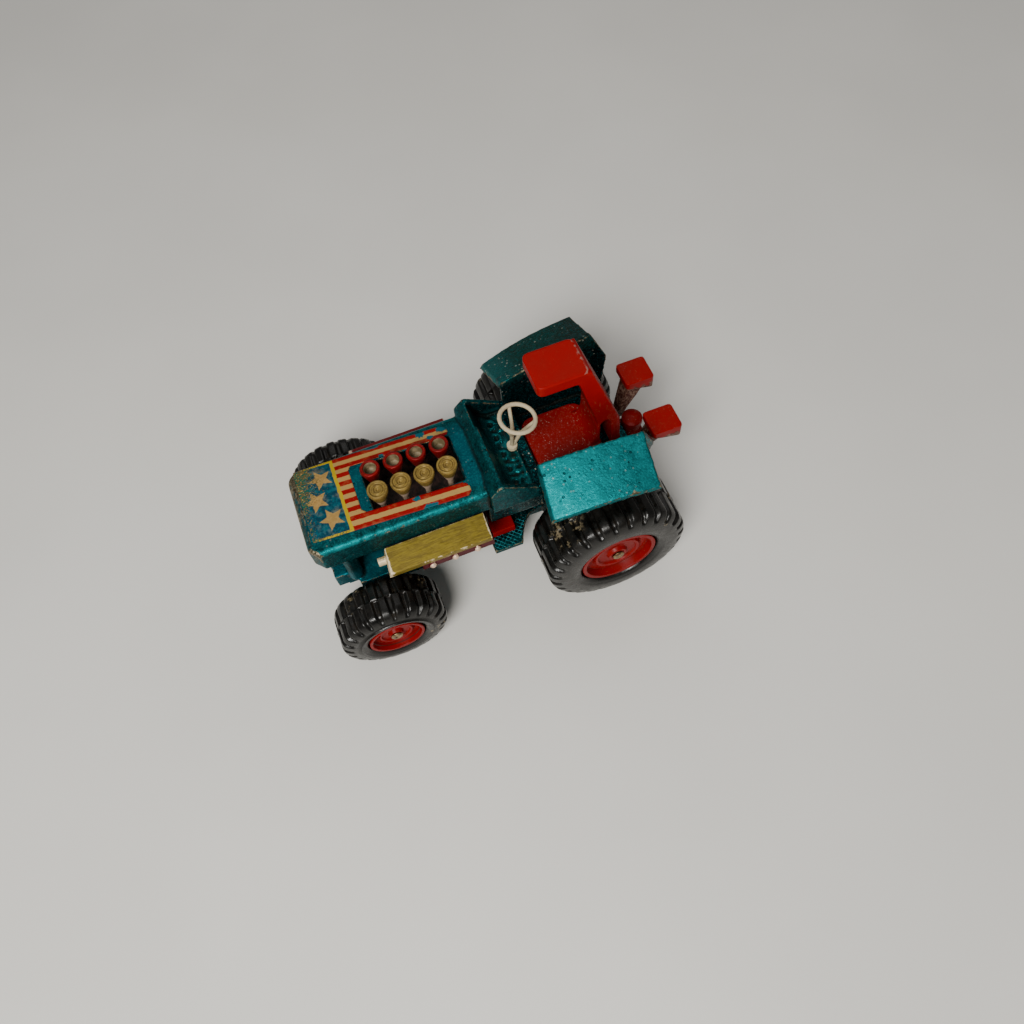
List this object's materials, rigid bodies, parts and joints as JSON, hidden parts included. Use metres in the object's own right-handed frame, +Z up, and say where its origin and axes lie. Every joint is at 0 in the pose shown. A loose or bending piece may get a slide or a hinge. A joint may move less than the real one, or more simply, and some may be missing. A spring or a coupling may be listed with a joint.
{
  "type": "toy tractor",
  "caption": "Free-rolling die-cast toy tractor with an open V engine, tall seat canopy, arched rear mudguards and four lugged wheels that each spin on a steel axle.",
  "frame": {"origin": "on the ground plane below the middle of the whole model", "axes": "+X forward (towards the bonnet), +Y to the left side, +Z up"},
  "size_m": [0.0996, 0.0638, 0.0654],
  "materials": {
    "die_cast_teal": "translucent teal lacquer over bright zinc casting, chipped and pitted at the edges",
    "printed_label": "printed paper sticker with three stars and stripes, worn",
    "engine_plastic": "moulded plastic, dark and dusty",
    "gold_plating": "worn olive-gold coating over pale plastic",
    "red_plating": "worn red coating over pale plastic",
    "maroon_plastic": "maroon coating over pink plastic",
    "red_plastic": "glossy red moulding, scuffed",
    "cream_plastic": "yellowed cream moulding",
    "axle_steel": "tarnished steel with peened ends",
    "tyre_rubber": "glossy black soft plastic, dusty between the lugs"
  },
  "bodies": {
    "tractor_body": {"body_casting": "die_cast_teal", "chassis_casting": "die_cast_teal", "hood_label": "printed_label", "engine_block": "engine_plastic", "rocker_cover_left": "gold_plating", "rocker_cover_right": "red_plating", "exhaust_manifold_left": "maroon_plastic", "exhaust_manifold_right": "maroon_plastic", "intake_trumpet_left_1": "gold_plating", "intake_trumpet_left_2": "gold_plating", "intake_trumpet_left_3": "gold_plating", "intake_trumpet_left_4": "gold_plating", "intake_trumpet_right_1": "red_plating", "intake_trumpet_right_2": "red_plating", "intake_trumpet_right_3": "red_plating", "intake_trumpet_right_4": "red_plating", "seat_moulding": "red_plastic", "tail_lamp_left": "red_plastic", "tail_lamp_right": "red_plastic", "tow_hitch": "red_plastic", "transmission_block": "red_plastic", "steering_wheel": "cream_plastic"},
    "rear_axle": {"rear_axle": "axle_steel"},
    "front_axle": {"front_axle": "axle_steel"},
    "rear_left_wheel": {"rear_left_tyre": "tyre_rubber", "rear_left_hub": "red_plastic"},
    "rear_right_wheel": {"rear_right_tyre": "tyre_rubber", "rear_right_hub": "red_plastic"},
    "front_left_wheel": {"front_left_tyre": "tyre_rubber", "front_left_hub": "red_plastic"},
    "front_right_wheel": {"front_right_tyre": "tyre_rubber", "front_right_hub": "red_plastic"}
  },
  "joints": [
    {"name": "rear_axle_spin", "type": "hinge", "parent": "tractor_body", "child": "rear_axle", "pos_m": [-0.0249, 0, 0.019], "axis": [0, 1, 0], "continuous": true},
    {"name": "front_axle_spin", "type": "hinge", "parent": "tractor_body", "child": "front_axle", "pos_m": [0.0356, 0, 0.0142], "axis": [0, 1, 0], "continuous": true},
    {"name": "rear_left_wheel_spin", "type": "hinge", "parent": "tractor_body", "child": "rear_left_wheel", "pos_m": [-0.0249, 0.0234, 0.019], "axis": [0, 1, 0], "continuous": true},
    {"name": "rear_right_wheel_spin", "type": "hinge", "parent": "tractor_body", "child": "rear_right_wheel", "pos_m": [-0.0249, -0.0234, 0.019], "axis": [0, 1, 0], "continuous": true},
    {"name": "front_left_wheel_spin", "type": "hinge", "parent": "tractor_body", "child": "front_left_wheel", "pos_m": [0.0356, 0.0221, 0.0142], "axis": [0, 1, 0], "continuous": true},
    {"name": "front_right_wheel_spin", "type": "hinge", "parent": "tractor_body", "child": "front_right_wheel", "pos_m": [0.0356, -0.0221, 0.0142], "axis": [0, 1, 0], "continuous": true}
  ]
}
